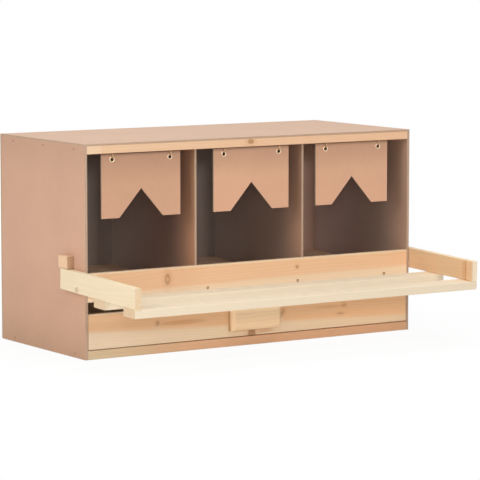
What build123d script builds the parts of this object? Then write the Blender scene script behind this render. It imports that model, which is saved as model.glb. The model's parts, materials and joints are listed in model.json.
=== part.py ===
"""Poultry nest box with three compartments, a fold-up perch, hanging flaps and an egg drawer.

Millimetres and degrees. The origin is on the floor, under the middle of the bottom front rail.
+X is to the right of someone facing the box, +Y to its back and +Z up.
"""

import os
from math import cos, radians, sin, sqrt, tan

from build123d import *

os.makedirs("parts", exist_ok=True)

# Shell: hardboard side walls, thinner panels for the back and the dividers, and flat sheets
body_width = 700.0
body_depth = 315.0
body_height = 380.0
wall = 5.0
panel = 4.0
sheet = 3.0

# Pine frame
board = 12.0
top_rail_height = 15.0
bottom_rail_height = 16.0
bottom_rail_depth = 24.0
eased_edge = 1.0

# Front of the box, from the base upwards
drawer_front_height = 62.7
view_gap = 21.5
lip_height = 51.0
lip_batten_height = 19.0

# Nest floor, which falls to a slot that lets eggs through to the drawer
floor_rise = 22.5
floor_fall = 3.0
egg_slot = 58.0
bearer_height = 15.0

# Perch frame, measured from its pivot, with its arms a little below level at rest
pivot_height = 24.0
perch_droop = 1.9
arm_reach = 200.0
arm_tail = 61.0
arm_height = 37.5
arm_thickness = 12.0
bar_width = 39.0
bar_thickness = 15.0
rear_bar_reach = 99.0
washer_thickness = 1.0
washer_radius = 8.0

# Stop blocks over the tails of the arms
block_depth = 32.0
block_height = 22.0
block_thickness = 14.0

# Drawer
drawer_rear_gap = 15.0
drawer_side = 10.0
drawer_side_height = 50.0
handle_width = 106.0
handle_height = 40.0
handle_thickness = 15.0
handle_edge = 8.0

# Flaps, each named with the distance of its middle from the middle of its nest
flap_places = {"left": -1.5, "middle": -0.9, "right": -10.3}
flap_width = 161.4
flap_height = 113.3
notch_width = 90.0
notch_height = 51.0
hole_spacing = 118.5

# Screw eyes, their rings turned a little way into the rail, and the eyelets that hang on them
eye_radius = 5.0
eye_wire = 1.1
eye_sink = 1.2
eye_shank = 11.0
eyelet_bore = 3.3
eyelet_wall = 0.7
eyelet_flange = 5.2
eyelet_lip = 0.6

# Nails and screws: head and shank radii, head height, and length in the wood
nail_head, nail_shank, nail_rise, nail_length = 1.8, 0.9, 0.4, 16.0
lip_screw_head, lip_screw_shank, lip_screw_rise, lip_screw_length = 2.8, 1.5, 0.3, 22.0
pivot_head, pivot_shank, pivot_rise, pivot_grip = 3.75, 2.5, 2.2, 26.0
bar_screw_head, bar_screw_shank, bar_screw_rise, bar_screw_length = 3.5, 1.75, 0.5, 40.0
handle_screw_head, handle_screw_shank, handle_screw_rise, handle_screw_length = 4.0, 2.0, 1.6, 22.0
head_sides, shank_sides = 12, 6
front_nail_inset, rear_nail_inset = 38.0, 47.0
lip_screw_pitch = 195.0
bar_screw_pitch = 20.0
handle_screw_pitch = 60.0

# Clearances
slide_gap = 0.3
drawer_foot_gap = 1.3
drawer_stop_gap = 0.5
drawer_side_gap = 0.8
fold_gap = 1.0
block_gap = 3.0
seat_gap = 0.3
turn_gap = 0.2
hang_gap = 0.3

# Planes of the carcass that the pieces share
half_width = body_width / 2
inner_half = half_width - wall
front = -board / 2
rail_back = board / 2
back = front + body_depth - panel
rear_rail_front = back - board
frame_top = body_height - sheet
rail_bottom = frame_top - top_rail_height
bottom_rail_back = front + bottom_rail_depth
base_front = rail_back + drawer_stop_gap
base_top = bottom_rail_height + sheet
drawer_foot = bottom_rail_height + drawer_foot_gap
drawer_top = drawer_foot + drawer_front_height
lip_bottom = drawer_top + view_gap
lip_top = lip_bottom + lip_height
lip_batten_back = rail_back + board
floor_front = lip_batten_back + egg_slot
floor_back_top = lip_bottom + floor_rise
nest_count = len(flap_places)
nest_width = (2 * inner_half - (nest_count - 1) * panel) / nest_count
nest_pitch = nest_width + panel


def save(piece, name):
    """Labels a finished piece and writes it to its own file."""
    piece.label = name
    export_step(piece, f"parts/{name}.step")


def make_board(name, x_span, y_span, z_span, grain=None):
    """A board or panel between two planes each way; one with a grain axis has its long edges eased."""
    with BuildPart() as piece:
        with BuildSketch(Plane.XY.offset(z_span[0])):
            with Locations((sum(x_span) / 2, sum(y_span) / 2)):
                Rectangle(x_span[1] - x_span[0], y_span[1] - y_span[0])
        extrude(amount=z_span[1] - z_span[0])
        if grain:
            chamfer(piece.edges().filter_by(grain), eased_edge)
    save(piece.part, name)


def make_profile_board(name, points, x_span):
    """A board whose outline, given in the YZ plane, runs across the box from one x to another."""
    with BuildPart() as piece:
        with BuildSketch(Plane.YZ.offset(x_span[0])):
            with BuildLine():
                Polyline(*points, close=True)
            make_face()
        extrude(amount=x_span[1] - x_span[0])
    save(piece.part, name)


def make_fasteners(name, seats, head, shank, rise, length):
    """Like nails or screws: each seat is a point on the wood and the way that its head faces."""
    with BuildPart() as group:
        for seat, outward in seats:
            with BuildSketch(Plane(origin=seat, z_dir=outward)):
                RegularPolygon(head, head_sides)
            extrude(amount=rise)
            with BuildSketch(Plane(origin=seat, z_dir=outward)):
                RegularPolygon(shank, shank_sides)
            extrude(amount=-length)
    save(group.part, name)


def floor_line(y, depth=0.0):
    """Height of the nest floor's top, or of a line that lies a depth below it, square to the floor."""
    return floor_back_top - (back - y) * tan(radians(floor_fall)) - depth / cos(radians(floor_fall))


# Shell panels
across_inside = (-inner_half, inner_half)
make_board("left_side_panel", (-half_width, -inner_half), (front, back), (0, frame_top))
make_board("right_side_panel", (inner_half, half_width), (front, back), (0, frame_top))
make_board("back_panel", (-half_width, half_width), (back, back + panel), (0, frame_top))
make_board("top_panel", (-half_width, half_width), (front, back + panel), (frame_top, body_height))
make_board("base_panel", across_inside, (base_front, back), (bottom_rail_height, base_top))

# Front rails and lip, which show, have eased edges; the bottom one also carries the base panel's front edge
rail_span = (front, rail_back)
make_board("top_front_rail", across_inside, rail_span, (rail_bottom, frame_top), Axis.X)
make_board("bottom_front_rail", across_inside, (front, bottom_rail_back), (0, bottom_rail_height), Axis.X)
make_board("lip_board", across_inside, rail_span, (lip_bottom, lip_top), Axis.X)

# Rear rails, and battens that tie the rails together along the side panels
rear_span = (rear_rail_front, back)
make_board("top_rear_rail", across_inside, rear_span, (rail_bottom, frame_top))
make_board("bottom_rear_rail", across_inside, rear_span, (0, bottom_rail_height))
batten_sides = {"left": (-inner_half, board - inner_half), "right": (inner_half - board, inner_half)}
for side, x_span in batten_sides.items():
    make_board(f"top_{side}_batten", x_span, (rail_back, rear_rail_front), (rail_bottom, frame_top))
    make_board(f"bottom_{side}_batten", x_span, (bottom_rail_back, rear_rail_front), (0, bottom_rail_height))

# Strip behind the lip
lip_batten_top = lip_bottom + lip_batten_height
make_board("lip_batten", across_inside, (rail_back, lip_batten_back), (lip_bottom, lip_batten_top))

# Nest floor, and the two boards under it with their tops planed to its fall
floor_outline = [
    (floor_front, floor_line(floor_front)),
    (back, floor_line(back)),
    (back, floor_line(back, sheet)),
    (floor_front, floor_line(floor_front, sheet)),
]
make_profile_board("nest_floor", floor_outline, across_inside)
bearer_places = {"floor_front_bearer": floor_front, "floor_rear_batten": rear_rail_front}
for name, y in bearer_places.items():
    bearer_foot = floor_line(y, sheet) - bearer_height
    bearer_outline = [
        (y, bearer_foot),
        (y + board, bearer_foot),
        (y + board, floor_line(y + board, sheet)),
        (y, floor_line(y, sheet)),
    ]
    make_profile_board(name, bearer_outline, across_inside)

# Dividers stand on the floor, are notched over the lip strip and under the top rear rail
divider_outline = [
    (rail_back, lip_batten_top),
    (lip_batten_back, lip_batten_top),
    (lip_batten_back, floor_line(lip_batten_back)),
    (back, floor_line(back)),
    (back, rail_bottom),
    (rear_rail_front, rail_bottom),
    (rear_rail_front, frame_top),
    (rail_back, frame_top),
]
divider_places = {"divider_left": -nest_pitch / 2, "divider_right": nest_pitch / 2}
for name, middle in divider_places.items():
    make_profile_board(name, divider_outline, (middle - panel / 2, middle + panel / 2))

# Perch frame, drawn on planes whose x runs out along the arm and whose y runs up from it
pivot_z = lip_bottom + pivot_height
arm_inner = half_width + washer_thickness
arm_outer = arm_inner + arm_thickness
arm_below = board / 2 + fold_gap
arm_above = arm_height - arm_below
droop_cos = cos(radians(perch_droop))
droop_sin = sin(radians(perch_droop))
along_arm = (0, -droop_cos, -droop_sin)
under_arm = (0, droop_sin, -droop_cos)


def perch_plane(x):
    """The plane of the perch's side view at one x; its normal points to -X."""
    return Plane(origin=(x, 0, pivot_z), x_dir=along_arm, z_dir=(-1, 0, 0))


def on_perch(x, out, up):
    """A point of the perch frame, given along the arm and above the pivot, at one x."""
    return (x, -out * droop_cos - up * droop_sin, pivot_z - out * droop_sin + up * droop_cos)


arm_starts = {"left": -arm_inner, "right": arm_outer}
for side, x_start in arm_starts.items():
    with BuildPart() as perch_arm:
        with BuildSketch(perch_plane(x_start)):
            with Locations(((arm_reach - arm_tail) / 2, (arm_above - arm_below) / 2)):
                Rectangle(arm_reach + arm_tail, arm_height)
        extrude(amount=arm_thickness)
        chamfer(perch_arm.edges().filter_by(Axis((0, 0, 0), along_arm)), eased_edge)
        with BuildSketch(perch_plane(x_start)):
            Circle(pivot_shank + turn_gap)
        extrude(amount=arm_thickness, mode=Mode.SUBTRACT)
    save(perch_arm.part, f"perch_arm_{side}")

bar_fronts = {"perch_front_bar": arm_reach, "perch_rear_bar": rear_bar_reach}
for name, bar_front in bar_fronts.items():
    with BuildPart() as perch_bar:
        with BuildSketch(perch_plane(arm_outer)):
            with Locations((bar_front - bar_width / 2, -arm_below - bar_thickness / 2)):
                Rectangle(bar_width, bar_thickness)
        extrude(amount=2 * arm_outer)
        chamfer(perch_bar.edges().filter_by(Axis.X), eased_edge)
    save(perch_bar.part, name)

bar_screw_x = arm_inner + arm_thickness / 2
bar_screw_seats = [
    (on_perch(x, bar_front - bar_width / 2 + step, -arm_below - bar_thickness), under_arm)
    for x in (-bar_screw_x, bar_screw_x)
    for bar_front in bar_fronts.values()
    for step in (-bar_screw_pitch / 2, bar_screw_pitch / 2)
]
make_fasteners("bar_screws", bar_screw_seats, bar_screw_head, bar_screw_shank, bar_screw_rise,
               bar_screw_length)

# Pivot screws with domed heads run through the arms and side panels into the ends of the lip
pivot_seat = arm_outer + seat_gap
pivot_end = half_width - pivot_grip
pivot_dome = (pivot_head**2 + pivot_rise**2) / (2 * pivot_rise)
with BuildPart() as pivot_screws:
    with BuildSketch(Plane.XY.offset(pivot_z)):
        with BuildLine():
            Polyline((pivot_seat, pivot_head), (pivot_seat, pivot_shank), (pivot_end, pivot_shank),
                     (pivot_end, 0), (pivot_seat + pivot_rise, 0))
            RadiusArc((pivot_seat + pivot_rise, 0), (pivot_seat, pivot_head), -pivot_dome)
        make_face()
    revolve(axis=Axis((0, 0, pivot_z), (1, 0, 0)))
    mirror(about=Plane.YZ)
save(pivot_screws.part, "pivot_screws")

with BuildPart() as pivot_washers:
    for x_start in (-arm_inner, half_width):
        with BuildSketch(Plane.YZ.offset(x_start)):
            with Locations((0, pivot_z)):
                Circle(washer_radius)
                Circle(pivot_shank, mode=Mode.SUBTRACT)
        extrude(amount=washer_thickness)
save(pivot_washers.part, "pivot_washers")

# Stop blocks clear the folded arms in front and meet the top corner of each tail at rest
block_front = arm_above + block_gap
block_foot = on_perch(0, -arm_tail, arm_above)[2] + seat_gap
block_sides = {"left": (-half_width - block_thickness, -half_width),
               "right": (half_width, half_width + block_thickness)}
for side, x_span in block_sides.items():
    make_board(f"stop_block_{side}", x_span, (block_front, block_front + block_depth),
               (block_foot, block_foot + block_height), Axis.Y)

# Drawer: two sides and a back on a sheet that slides on the base panel, and a front that hides its edge
drawer_half = inner_half - drawer_side_gap
drawer_floor = base_top + slide_gap
drawer_wall = (drawer_floor + sheet, drawer_floor + sheet + drawer_side_height)
drawer_back = back - drawer_rear_gap
drawer_inner = drawer_half - drawer_side
make_board("drawer_front", (-drawer_half, drawer_half), rail_span, (drawer_foot, drawer_top), Axis.X)
make_board("drawer_bottom", (-drawer_half, drawer_half), (rail_back, drawer_back),
           (drawer_floor, drawer_floor + sheet))
make_board("drawer_left_side", (-drawer_half, -drawer_inner), (rail_back, drawer_back), drawer_wall)
make_board("drawer_right_side", (drawer_inner, drawer_half), (rail_back, drawer_back), drawer_wall)
make_board("drawer_back", (-drawer_inner, drawer_inner), (drawer_back - drawer_side, drawer_back),
           drawer_wall)

handle_z = (drawer_foot + drawer_top) / 2
with BuildPart() as drawer_handle:
    with BuildSketch(Plane.XZ.offset(-front)):
        with Locations((0, handle_z)):
            Rectangle(handle_width, handle_height)
    extrude(amount=handle_thickness)
    fillet(drawer_handle.faces().sort_by(Axis.Y)[0].edges(), handle_edge)
save(drawer_handle.part, "drawer_handle")

handle_screw_seats = [((x, rail_back, handle_z), (0, 1, 0))
                      for x in (-handle_screw_pitch / 2, handle_screw_pitch / 2)]
make_fasteners("handle_screws", handle_screw_seats, handle_screw_head, handle_screw_shank,
               handle_screw_rise, handle_screw_length)

# Flaps hang from screw eyes under the top front rail and turn about the middle of the eyes' rings
flap_axis_z = rail_bottom + eye_sink - eye_radius - eye_wire
ring_inside = eye_radius - eye_wire
flap_top = flap_axis_z + sqrt((ring_inside - hang_gap) ** 2 - (sheet / 2) ** 2)
flap_foot = flap_top - flap_height
eyelet_half = sheet / 2 + eyelet_lip
hole_top = flap_axis_z - sqrt(ring_inside**2 - eyelet_half**2) + hang_gap
hole_z = hole_top - eyelet_bore
eyelet_barrel = eyelet_bore + eyelet_wall
flap_middles = {
    name: nest_pitch * place + shift
    for place, (name, shift) in zip((-1, 0, 1), flap_places.items())
}
hole_offsets = (-hole_spacing / 2, hole_spacing / 2)

for side, middle in flap_middles.items():
    flap_outline = [
        (middle - flap_width / 2, flap_foot),
        (middle - notch_width / 2, flap_foot),
        (middle, flap_foot + notch_height),
        (middle + notch_width / 2, flap_foot),
        (middle + flap_width / 2, flap_foot),
        (middle + flap_width / 2, flap_top),
        (middle - flap_width / 2, flap_top),
    ]
    with BuildPart() as flap:
        with BuildSketch(Plane.XZ.offset(-sheet / 2)):
            with BuildLine():
                Polyline(*flap_outline, close=True)
            make_face()
            with Locations(*[(middle + offset, hole_z) for offset in hole_offsets]):
                Circle(eyelet_barrel, mode=Mode.SUBTRACT)
        extrude(amount=sheet)
    save(flap.part, f"flap_{side}")

    with BuildPart() as eyelets:
        for offset in hole_offsets:
            centre = (middle + offset, 0, hole_z)
            with BuildSketch(Plane(origin=centre, x_dir=(0, 1, 0), z_dir=(1, 0, 0))):
                with BuildLine():
                    Polyline(
                        (-eyelet_half, eyelet_bore), (-sheet / 2, eyelet_flange),
                        (-sheet / 2, eyelet_barrel), (sheet / 2, eyelet_barrel),
                        (sheet / 2, eyelet_flange), (eyelet_half, eyelet_bore), close=True)
                make_face()
            revolve(axis=Axis(centre, (0, 1, 0)))
    save(eyelets.part, f"flap_{side}_eyelets")

eye_places = [middle + offset for middle in flap_middles.values() for offset in hole_offsets]
with BuildPart() as screw_eyes:
    with BuildSketch(Plane.XZ):
        with Locations(*[(x, flap_axis_z + eye_radius) for x in eye_places]):
            RegularPolygon(eye_wire, shank_sides)
    revolve(axis=Axis((0, 0, flap_axis_z), (1, 0, 0)))
    with BuildSketch(Plane.XY.offset(flap_axis_z + eye_radius)):
        with Locations(*[(x, 0) for x in eye_places]):
            RegularPolygon(eye_wire, shank_sides)
    extrude(amount=eye_wire + eye_shank)
save(screw_eyes.part, "screw_eyes")

# Nails through the side panels into the battens, and screws through the lip into its strip
top_nail_z = (rail_bottom + frame_top) / 2
bottom_nail_z = bottom_rail_height / 2
front_nail_y = front + front_nail_inset
rear_nail_y = back - rear_nail_inset
middle_nail_y = (front_nail_y + rear_nail_y) / 2
side_nail_seats = [
    ((sign * half_width, y, z), (sign, 0, 0))
    for sign in (-1, 1)
    for y, z in (
        (front_nail_y, top_nail_z), (middle_nail_y, top_nail_z), (rear_nail_y, top_nail_z),
        (front_nail_y, bottom_nail_z), (rear_nail_y, bottom_nail_z),
    )
]
make_fasteners("side_panel_nails", side_nail_seats, nail_head, nail_shank, nail_rise, nail_length)

lip_screw_z = lip_bottom + lip_batten_height / 2
lip_screw_seats = [
    ((step * lip_screw_pitch, front, lip_screw_z), (0, -1, 0)) for step in (-1.5, -0.5, 0.5, 1.5)
]
make_fasteners("lip_screws", lip_screw_seats, lip_screw_head, lip_screw_shank, lip_screw_rise,
               lip_screw_length)
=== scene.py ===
"""Looks of the nest box: pine and hardboard finishes on its boards, and its small metal hardware.

Laid out as an add-on: sizes and colours are properties, and each group of like pieces has an operator.
Metres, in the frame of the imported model: +X to the right, +Y to the back, +Z up from the floor.
"""
import json
from math import cos, radians, sin
from typing import NamedTuple

import bmesh
import bpy
import numpy as np
from bpy.props import FloatProperty, FloatVectorProperty, IntProperty, PointerProperty
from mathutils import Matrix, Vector


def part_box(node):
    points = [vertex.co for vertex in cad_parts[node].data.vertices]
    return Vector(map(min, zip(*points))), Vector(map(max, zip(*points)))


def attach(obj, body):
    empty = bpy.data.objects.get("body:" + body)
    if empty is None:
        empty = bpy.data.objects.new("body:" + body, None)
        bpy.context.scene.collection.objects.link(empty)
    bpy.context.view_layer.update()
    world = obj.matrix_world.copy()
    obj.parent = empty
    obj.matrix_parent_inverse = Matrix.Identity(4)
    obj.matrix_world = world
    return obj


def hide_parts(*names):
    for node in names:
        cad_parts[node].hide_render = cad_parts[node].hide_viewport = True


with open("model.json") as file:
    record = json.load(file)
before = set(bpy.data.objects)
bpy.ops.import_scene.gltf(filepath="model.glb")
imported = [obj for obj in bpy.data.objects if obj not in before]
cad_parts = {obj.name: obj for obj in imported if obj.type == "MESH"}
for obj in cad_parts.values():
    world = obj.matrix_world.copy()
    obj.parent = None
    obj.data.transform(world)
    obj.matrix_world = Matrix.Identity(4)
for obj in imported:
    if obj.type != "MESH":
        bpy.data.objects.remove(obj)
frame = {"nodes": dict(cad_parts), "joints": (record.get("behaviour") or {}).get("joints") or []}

bl_info = {
    "name": "Nest Box Looks",
    "version": (1, 0, 0),
    "blender": (4, 5, 0),
    "location": "View3D > Sidebar > Nest Box",
    "description": "Finishes the boards, panels and hardware of a poultry nest box",
    "category": "Object",
}

NODES = frame["nodes"]
JOINTS = {joint["name"]: joint for joint in frame["joints"]}
SIDES = ("left", "middle", "right")
AXES = {"X": 0, "Y": 1, "Z": 2}
MM = 0.001
PLAIN = (1.0, 1.0, 1.0)
PALE_WOOD = {"pale": "cream", "deep": "sapwood"}

# Recesses in screw heads, as shares of a head's radius: half sizes, and the widths of their sloping walls
CROSS_HALF_WIDTH = 0.17
CROSS_HALF_LENGTH = 0.62
SLOT_HALF_WIDTH = 0.24
SIDE_SLOPE = 0.06
END_SLOPE = 0.10


def colour_property(name, description, default):
    """A linear colour."""
    return FloatVectorProperty(name=name, description=description, default=default, subtype="COLOR",
                               min=0.0, max=1.0, size=3)


def length_property(name, description, default):
    """A length in metres."""
    return FloatProperty(name=name, description=description, default=default, unit="LENGTH", precision=5)


def angle_property(name, description, degrees):
    """An angle, whose default is given here in degrees."""
    return FloatProperty(name=name, description=description, default=radians(degrees), subtype="ANGLE")


def share_property(name, description, default):
    """A share from 0 to 1."""
    return FloatProperty(name=name, description=description, default=default, subtype="FACTOR",
                         min=0.0, max=1.0)


def power_property(name, description, default):
    """A lamp's power in watts."""
    return FloatProperty(name=name, description=description, default=default, unit="POWER")


class NestBoxPine(bpy.types.PropertyGroup):
    """Colours and grain of the pine boards."""

    sapwood: colour_property("Sapwood", "Pale outer wood of the boards", (0.88, 0.64, 0.42))
    heartwood: colour_property("Heartwood", "Orange inner wood of the boards", (0.85, 0.50, 0.28))
    cream: colour_property("Cream", "Palest wood, on the perch and in the drawer", (0.90, 0.76, 0.57))
    latewood: colour_property("Latewood", "Dark line at the end of each ring", (0.54, 0.23, 0.08))
    knot: colour_property("Knot", "Dark heart of a knot", (0.30, 0.115, 0.032))
    end_grain: colour_property("End grain", "Sawn end of a board", (0.62, 0.36, 0.16))
    ring_spacing: length_property("Ring spacing", "Width of one growth ring", 4.2 * MM)
    contrast: share_property("Ring contrast", "How strongly the dark lines show", 0.13)
    roughness: share_property("Roughness", "Gloss of planed wood", 0.58)


class NestBoxHardboard(bpy.types.PropertyGroup):
    """Colours of the hardboard sheets."""

    face: colour_property("Face", "Smooth outer face", (0.64, 0.39, 0.275))
    # Painted light and shade on the faces to the nests: darker than the outer face at the mouths and more so
    # behind them, as shade, then paler again at the far ends, as a painted lift of light
    mouth: colour_property("Mouth", "Face to the nests, at their mouths", (0.50, 0.29, 0.19))
    inside: colour_property("Inside", "Face to the nests, behind their mouths", (0.36, 0.245, 0.19))
    painted_far_light: colour_property("Dusty", "Face to the nests, at their far ends", (0.47, 0.39, 0.345))
    edge: colour_property("Edge", "Sawn edge of a sheet", (0.53, 0.365, 0.258))
    fleck_size: length_property("Fleck size", "Size of the fibre flecks", 1.6 * MM)
    roughness: share_property("Roughness", "Gloss of the smooth face", 0.66)


class NestBoxHardware(bpy.types.PropertyGroup):
    """Colours and fine sizes of the metal pieces."""

    plated: colour_property("Plated", "Plated eyelets and washers", (0.88, 0.68, 0.47))
    pivot: colour_property("Pivot", "Yellow-plated pivot screws", (0.78, 0.62, 0.42))
    brass: colour_property("Brass", "Yellow-plated screw eyes", (0.55, 0.38, 0.20))
    browned: colour_property("Browned", "Nails and the lip's screws", (0.33, 0.195, 0.085))
    dark: colour_property("Dark", "Dark screws of the perch and the handle", (0.20, 0.12, 0.075))
    eyelet_roll: length_property("Eyelet roll", "Height of an eyelet's rolled rim over the sheet", 0.6 * MM)
    eyelet_bore: length_property("Eyelet bore", "Radius of an eyelet's hole", 3.3 * MM)
    eyelet_wall: length_property("Eyelet wall", "Thickness of an eyelet's barrel", 0.5 * MM)
    eye_gap: angle_property("Eye gap", "Open part of a screw eye's ring", 16)
    wire: length_property("Eye wire", "Radius of a screw eye's wire", 0.95 * MM)
    recess_depth: length_property("Recess depth", "Depth of a pivot's or handle screw's recess", 0.9 * MM)
    bar_screw_pitch: length_property("Bar screw pitch", "Between the two screws in a bar's end", 20 * MM)
    handle_screw_pitch: length_property("Handle screw pitch", "Between the handle's screws", 60 * MM)
    segments: IntProperty(name="Segments", description="Steps round a turned piece", default=40, min=12)


class NestBoxStage(bpy.types.PropertyGroup):
    """Camera, lamps and floor."""

    camera: FloatVectorProperty(name="Camera", description="Place of the camera", subtype="TRANSLATION",
                                unit="LENGTH", default=(-2.6148, -4.0395, 0.7290))
    yaw: angle_property("Yaw", "Turn of the camera to the right", 32.668)
    pitch: angle_property("Pitch", "Tilt of the camera downwards", 6.378)
    lens: FloatProperty(name="Lens", description="Focal length in millimetres on a 36 mm sensor",
                        default=199.63)
    key_power: power_property("Key power", "Large soft lamp high in front", 16.0)
    side_power: power_property("Side power", "Soft lamp at the left", 27.0)
    top_power: power_property("Top power", "Soft lamp overhead", 38.0)
    fill_power: power_property("Fill power", "Smaller lamp straight in front", 39.0)
    camera_power: power_property("Camera power", "Soft lamp beside the camera", 32.0)
    ambient: FloatProperty(name="Ambient", description="Even light from all round", default=0.22, min=0.0)
    floor: colour_property("Floor", "Plain pale floor", (0.92, 0.92, 0.92))
    plain: share_property("Plain floor", "Share of the floor by the box that shows no shadow", 0.93)


def math_method(operation, reflected=False):
    """A method of a wire that adds a Math node; reflected, the wire is the node's second value."""
    def method(wire, other=0.0):
        first, second = (other, wire) if reflected else (wire, other)
        return wire.finish.math(operation, first, second)
    return method


class Wire:
    """A shader value that arithmetic can be written with; each operation adds a Math node."""

    def __init__(self, finish, socket):
        self.finish = finish
        self.socket = socket

    __add__ = __radd__ = math_method("ADD")
    __mul__ = __rmul__ = math_method("MULTIPLY")
    __sub__ = math_method("SUBTRACT")
    __rsub__ = math_method("SUBTRACT", reflected=True)
    __truediv__ = math_method("DIVIDE")
    __rtruediv__ = math_method("DIVIDE", reflected=True)
    __pow__ = math_method("POWER")
    __abs__ = math_method("ABSOLUTE")
    root = math_method("SQRT")
    fraction = math_method("FRACT")
    larger = math_method("MAXIMUM")


class Nodes:
    """A node tree, with short ways to add nodes to it."""

    def __init__(self, tree):
        self.tree = tree

    def node(self, kind, settings, sockets, output=0):
        """Adds a node, sets it up, fills its sockets with values or links and returns one output."""
        made = self.tree.nodes.new(kind)
        for key, value in settings.items():
            setattr(made, key, value)
        for key, value in sockets.items():
            self.fill(made.inputs[key], value)
        return Wire(self, made.outputs[output]) if len(made.outputs) else None

    def fill(self, socket, value):
        """Links a wire to a socket, or sets the socket's own value."""
        if isinstance(value, Wire):
            self.tree.links.new(value.socket, socket)
        else:
            socket.default_value = value

    def math(self, operation, first, second=0.0):
        return self.node("ShaderNodeMath", {"operation": operation}, {0: first, 1: second})

    def clamp(self, value):
        return self.node("ShaderNodeClamp", {}, {0: value})

    def split(self, vector):
        """The three parts of a vector."""
        return [self.node("ShaderNodeSeparateXYZ", {}, {0: vector}, i) for i in range(3)]

    def step(self, value, low, high):
        """0 below low, 1 above high and smooth between them; low over high turns it round."""
        ends = {"From Min": low, "From Max": high, "To Min": 0.0, "To Max": 1.0}
        if low > high:
            ends = {"From Min": high, "From Max": low, "To Min": 1.0, "To Max": 0.0}
        smooth = {"interpolation_type": "SMOOTHSTEP"}
        return self.node("ShaderNodeMapRange", smooth, {"Value": value, **ends})

    def mix(self, share, first, second, blend="MIX"):
        """A colour part of the way from the first to the second."""
        first, second = (c if isinstance(c, Wire) else (*c, 1.0) for c in (first, second))
        return self.node("ShaderNodeMix", {"data_type": "RGBA", "blend_type": blend},
                         {0: share, 6: first, 7: second}, 2)

    def bands(self, value, stops):
        """A colour from a ramp whose stops are (value, colour), in rising order."""
        low, high = stops[0][0], stops[-1][0]
        share = self.node("ShaderNodeMapRange", {}, {"Value": value, "From Min": low, "From Max": high})
        shown = self.node("ShaderNodeValToRGB", {}, {0: share})
        ramp = shown.socket.node.color_ramp
        ramp.interpolation = "EASE"
        while len(ramp.elements) < len(stops):
            ramp.elements.new(0.5)
        for element, (at, colour) in zip(ramp.elements, stops):
            element.position = (at - low) / (high - low)
            element.color = (*colour, 1.0)
        return shown

    def seen(self):
        """1 for rays from the eye, mirrors and glass, which see the plain white background."""
        eye, mirror, glass = [self.node("ShaderNodeLightPath", {}, {}, f"Is {kind} Ray")
                              for kind in ("Camera", "Glossy", "Transmission")]
        return eye.larger(mirror).larger(glass)


class Finish(Nodes):
    """One material and the nodes that feed its shader."""

    def __init__(self, name):
        self.material = bpy.data.materials.new(name)
        self.material.use_nodes = True
        super().__init__(self.material.node_tree)
        self.shader = self.tree.nodes["Principled BSDF"]
        self.place = self.node("ShaderNodeTexCoord", {}, {}, "Object")
        self.facing = self.node("ShaderNodeTexCoord", {}, {}, "Normal")

    def noise(self, scale, shift=(0.0, 0.0, 0.0), detail=3.0, roughness=0.5):
        """Noise on Object coordinates; scale is its grains per metre, one number or one for each axis."""
        moved = self.node("ShaderNodeMapping", {}, {"Vector": self.place, "Location": shift,
                                                    "Scale": np.broadcast_to(scale, 3).tolist()})
        return self.node("ShaderNodeTexNoise", {}, {"Vector": moved, "Scale": 1.0, "Detail": detail,
                                                    "Roughness": roughness})

    def surface(self, colour, roughness, bump, bump_depth, metallic=0.0, specular=0.5):
        """Connects the shader: what varies is linked, what is even is set on the shader's own socket."""
        lifted = self.node("ShaderNodeBump", {}, {"Height": bump, "Distance": bump_depth, "Strength": 1.0})
        wanted = {"Base Color": colour, "Roughness": roughness, "Metallic": metallic,
                  "Specular IOR Level": specular, "Normal": lifted}
        for key, value in wanted.items():
            self.fill(self.shader.inputs[key], value)
        return self.material


class Mark(NamedTuple):
    """A knot, a stain or a painted shadow on a board's face, in metres.

    Clear middle is how much of a knot's middle stays pale, and tilt its move along the grain as it rises.
    """

    along: float
    height: float
    half_length: float
    half_height: float
    darkness: float
    clear_middle: float = 0.0
    tilt: float = 0.0


class Board(NamedTuple):
    """How one pine board was cut: where the tree's pith lay, which wood shows and what marks it has.

    The pith is (across, height). It leans as it runs along the grain, and slow noise bends it by the wander.
    Deep wood lies within the heart radius and pale wood outside it, and the border between them is soft by
    the blend.
    Above the highlight top, pale wood is painted as a highlight along a lit top edge. Streak is how unevenly
    the two show, and figure scales the rings' contrast.
    Tints are (along, tint), in rising order. End is the share of the end grain's colour on sawn ends, and
    end_fade the two places across the grain between which that colour comes in. The seed shifts the noise.
    """

    grain: str = "X"
    pith: tuple = (0.05, 0.05)
    lean: float = 0.0
    wander: float = 22 * MM
    heart: float = 0.0
    blend: float = 3.5 * MM
    painted_highlight_top: float | None = None
    pale: str = "sapwood"
    deep: str = "heartwood"
    tint: tuple = PLAIN
    deep_tint: tuple = PLAIN
    tints: tuple = ()
    streak: float = 0.35
    figure: float = 1.0
    knots: tuple = ()
    stains_and_shadows: tuple = ()
    end: float = 0.25
    end_tint: tuple = PLAIN
    end_fade: tuple | None = None
    seed: float = 0.0


def tinted(colour, *tints):
    """A colour times one or more tints."""
    return tuple(np.prod([tuple(colour), *tints], axis=0))


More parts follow.
